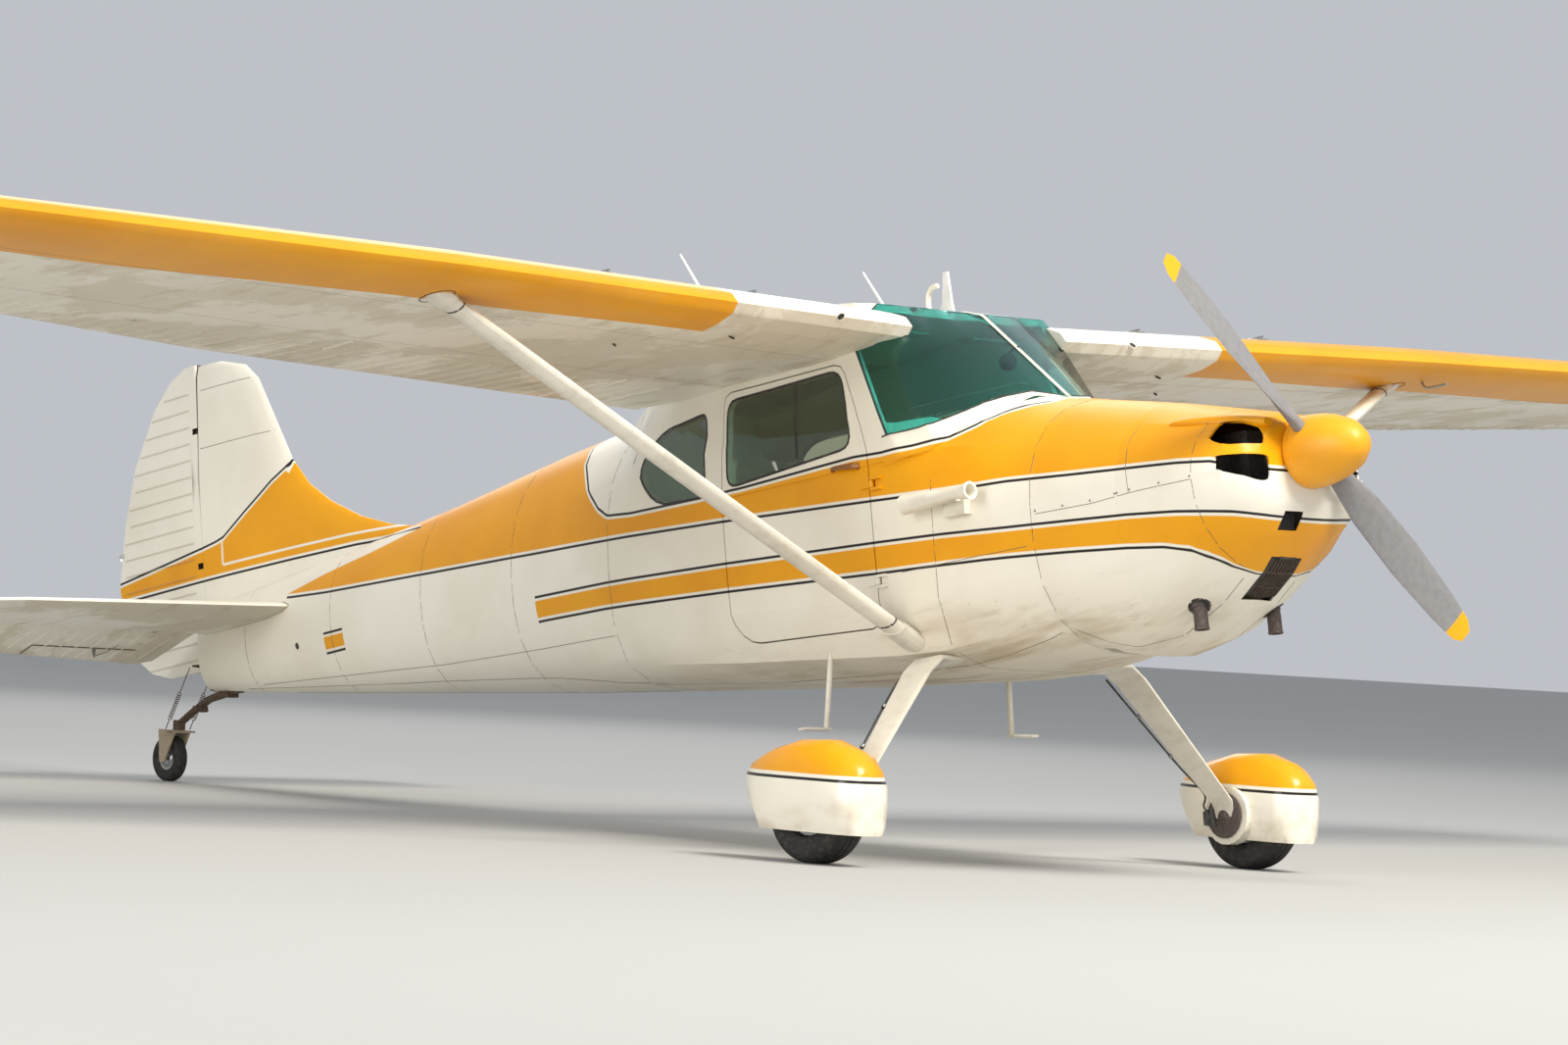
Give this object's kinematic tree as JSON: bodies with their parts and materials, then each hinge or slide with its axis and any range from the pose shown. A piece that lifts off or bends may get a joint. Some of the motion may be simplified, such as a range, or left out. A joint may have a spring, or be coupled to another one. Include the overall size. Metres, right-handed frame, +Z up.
{
  "type": "light aircraft",
  "caption": "High-wing, strut-braced, four-seat light aircraft with a tail wheel, faired main wheels and a fixed-pitch propeller, parked on its gear.",
  "frame": {"origin": "on the floor, under the middle of the aircraft's plan", "axes": "+X forward along the floor, +Y to the pilot's left, +Z up; the airframe sits 10 degrees nose-up in this frame"},
  "size_m": [7.5758, 10.9728, 2.2429],
  "materials": {
    "white_paint": "gloss cream white, weathered",
    "yellow_paint": "gloss golden yellow",
    "tinted_glazing": "clear, green tint",
    "side_glazing": "clear, grey tint",
    "tyre": "worn matt",
    "bare_metal": "satin",
    "engine_metal": "matt, dirty",
    "rusty_steel": "rusty, dirty",
    "frame_steel": "satin",
    "black_trim": "matt",
    "aerial_white": "gloss",
    "seat_cloth": "woven"
  },
  "bodies": {
    "airframe": {"aerial_blade": "aerial_white", "aerial_roof": "aerial_white", "aerial_wing": "aerial_white", "air_filter": "black_trim", "boot_cowl": "white_paint", "cabin_shell": "white_paint", "cowling": "yellow_paint", "engine": "engine_metal", "exhaust_left": "rusty_steel", "exhaust_right": "rusty_steel", "fin": "white_paint", "front_seat_frame_left": "frame_steel", "front_seat_frame_right": "frame_steel", "front_seat_left": "seat_cloth", "front_seat_right": "seat_cloth", "gear_leg_left": "white_paint", "gear_leg_right": "white_paint", "instrument_panel": "black_trim", "nose_bowl": "yellow_paint", "rear_seat": "seat_cloth", "rear_seat_frame": "frame_steel", "rear_window_left": "side_glazing", "rear_window_right": "side_glazing", "roof_tube": "aerial_white", "stabilizer": "white_paint", "step_left": "white_paint", "step_right": "white_paint", "strut_left": "white_paint", "strut_right": "white_paint", "tail_cone": "white_paint", "tail_spring": "rusty_steel", "venturi": "white_paint", "wheel_fairing_left": "white_paint", "wheel_fairing_right": "white_paint", "windshield": "tinted_glazing", "wing_left": "white_paint", "wing_right": "white_paint"},
    "propeller": {"propeller": "bare_metal", "spinner": "yellow_paint"},
    "left_wheel": {"tyre_left": "tyre", "wheel_left": "white_paint"},
    "right_wheel": {"tyre_right": "tyre", "wheel_right": "white_paint"},
    "tail_fork": {"tail_fork": "rusty_steel"},
    "tail_wheel": {"tail_tyre": "tyre", "tail_hub": "bare_metal"},
    "left_door": {"door_left": "white_paint", "door_window_left": "side_glazing"},
    "right_door": {"door_right": "white_paint", "door_window_right": "side_glazing"},
    "left_aileron": {"aileron_left": "white_paint"},
    "right_aileron": {"aileron_right": "white_paint"},
    "left_flap": {"flap_left": "white_paint"},
    "right_flap": {"flap_right": "white_paint"},
    "elevator": {"elevator": "white_paint"},
    "rudder": {"rudder": "white_paint"}
  },
  "joints": [
    {"name": "propeller_spin", "type": "hinge", "parent": "airframe", "child": "propeller", "pos_m": [3.56278, 0, 1.58215], "axis": [0.9848, 0, 0.1736], "continuous": true},
    {"name": "left_wheel_spin", "type": "hinge", "parent": "airframe", "child": "left_wheel", "pos_m": [2.2521, 1.13792, 0.20416], "axis": [0, 1, 0], "continuous": true},
    {"name": "right_wheel_spin", "type": "hinge", "parent": "airframe", "child": "right_wheel", "pos_m": [2.2521, -1.13792, 0.20416], "axis": [0, 1, 0], "continuous": true},
    {"name": "tail_fork_steer", "type": "hinge", "parent": "airframe", "child": "tail_fork", "pos_m": [-3.28256, 0, 0.23083], "axis": [0, 0, 1], "range_deg": [-24, 24]},
    {"name": "tail_wheel_spin", "type": "hinge", "parent": "tail_fork", "child": "tail_wheel", "pos_m": [-3.34098, 0, 0.10256], "axis": [0, 1, 0], "continuous": true},
    {"name": "left_door_swing", "type": "hinge", "parent": "airframe", "child": "left_door", "pos_m": [1.81679, 0.54102, 1.27429], "axis": [-0.1736, 0, 0.9848], "range_deg": [-75, 0]},
    {"name": "right_door_swing", "type": "hinge", "parent": "airframe", "child": "right_door", "pos_m": [1.81679, -0.54102, 1.27429], "axis": [-0.1736, 0, 0.9848], "range_deg": [0, 75]},
    {"name": "left_aileron_turn", "type": "hinge", "parent": "airframe", "child": "left_aileron", "pos_m": [0.52225, 2.5527, 1.84548], "axis": [0.0857, 0.9949, 0.0535], "range_deg": [-14, 20]},
    {"name": "right_aileron_turn", "type": "hinge", "parent": "airframe", "child": "right_aileron", "pos_m": [0.52225, -2.5527, 1.84548], "axis": [0.0857, -0.9949, 0.0535], "range_deg": [-20, 14]},
    {"name": "left_flap_turn", "type": "hinge", "parent": "airframe", "child": "left_flap", "pos_m": [0.61463, 0.6096, 1.73309], "axis": [-0.0071, 0.9991, 0.0407], "range_deg": [-40, 0]},
    {"name": "right_flap_turn", "type": "hinge", "parent": "airframe", "child": "right_flap", "pos_m": [0.61463, -0.6096, 1.73309], "axis": [-0.0071, -0.9991, 0.0407], "range_deg": [0, 40]},
    {"name": "elevator_turn", "type": "hinge", "parent": "airframe", "child": "elevator", "pos_m": [-3.00515, 0, 0.69744], "axis": [0, 1, 0], "range_deg": [-8, 46]},
    {"name": "rudder_turn", "type": "hinge", "parent": "airframe", "child": "rudder", "pos_m": [-3.17327, 0, 1.16816], "axis": [-0.1736, 0, 0.9848], "range_deg": [-16, 16]}
  ],
  "couplings": [
    {"joint": "right_flap_turn", "follows": "left_flap_turn", "ratio": -1}
  ]
}
